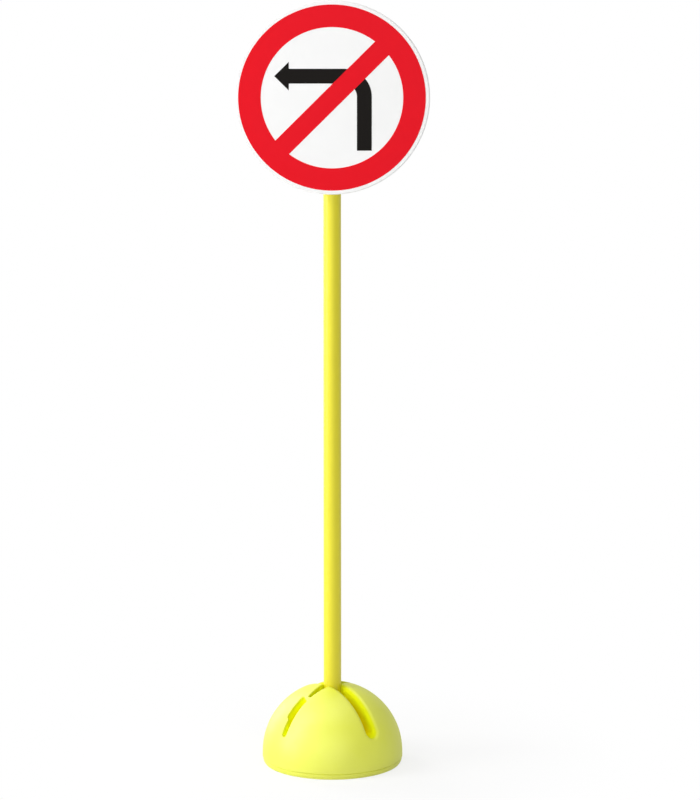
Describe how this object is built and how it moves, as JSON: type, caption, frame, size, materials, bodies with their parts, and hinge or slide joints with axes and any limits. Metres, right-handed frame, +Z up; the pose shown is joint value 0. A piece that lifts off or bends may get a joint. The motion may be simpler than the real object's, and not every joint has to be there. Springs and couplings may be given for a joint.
{
  "type": "no left turn sign",
  "caption": "Round no-left-turn sign clipped to a yellow pole, which stands in a weighted dome base with slots for hoops and laths.",
  "frame": {"origin": "on the floor, under the pole's axis", "axes": "+Z up along the pole; the sign faces -Y; +X is to the right of someone who reads the sign"},
  "size_m": [0.272, 0.2, 1.096],
  "materials": {
    "dome_plastic": "moulded, softly matt",
    "plate_plastic": "moulded, softly matt",
    "screw_steel": "zinc plated",
    "ballast_sand": "dry sand",
    "filler_plastic": "moulded",
    "seal_rubber": "flat rubber",
    "pole_plastic": "extruded, satin gloss",
    "end_plug_plastic": "moulded",
    "panel_plastic": "sheet, satin",
    "white_film": "smooth film",
    "red_film": "smooth film",
    "black_film": "smooth film",
    "clip_plastic": "moulded",
    "rivet_aluminium": "plain",
    "washer_steel": "zinc plated"
  },
  "bodies": {
    "base": {"base_dome": "dome_plastic", "base_plate": "plate_plastic", "plate_screws": "screw_steel", "sand_ballast": "ballast_sand"},
    "filler_seal": {"plug_seal": "seal_rubber"},
    "filler": {"filler_plug": "filler_plastic"},
    "pole_foot": {"pole_foot_plug": "end_plug_plastic"},
    "pole": {"pole_tube": "pole_plastic", "pole_top_plug": "end_plug_plastic"},
    "sign": {"sign_panel": "panel_plastic", "face_sheet": "white_film", "red_ring": "red_film", "black_arrow": "black_film", "upper_clip": "clip_plastic", "lower_clip": "clip_plastic", "clip_rivets": "rivet_aluminium", "rivet_washers": "washer_steel"}
  },
  "joints": [
    {"name": "pole_lift", "type": "slide", "parent": "base", "child": "pole_foot", "axis": [0, 0, 1], "range_m": [0, 0.105]},
    {"name": "pole_turn", "type": "hinge", "parent": "pole_foot", "child": "pole", "pos_m": [0, 0, 0.012], "axis": [0, 0, 1], "continuous": true},
    {"name": "sign_height", "type": "slide", "parent": "pole", "child": "sign", "axis": [0, 0, 1], "range_m": [-0.7, 0.1]},
    {"name": "plug_drop", "type": "slide", "parent": "base", "child": "filler_seal", "axis": [0, 0, -1], "range_m": [0, 0.0106]},
    {"name": "plug_turn", "type": "hinge", "parent": "filler_seal", "child": "filler", "pos_m": [0.0046, 0.04778, 0.004], "axis": [0, 0, -1], "range_deg": [0, 1080]}
  ],
  "couplings": [
    {"joint": "plug_drop", "follows": "plug_turn", "m_per_rad": 0.00055704}
  ]
}
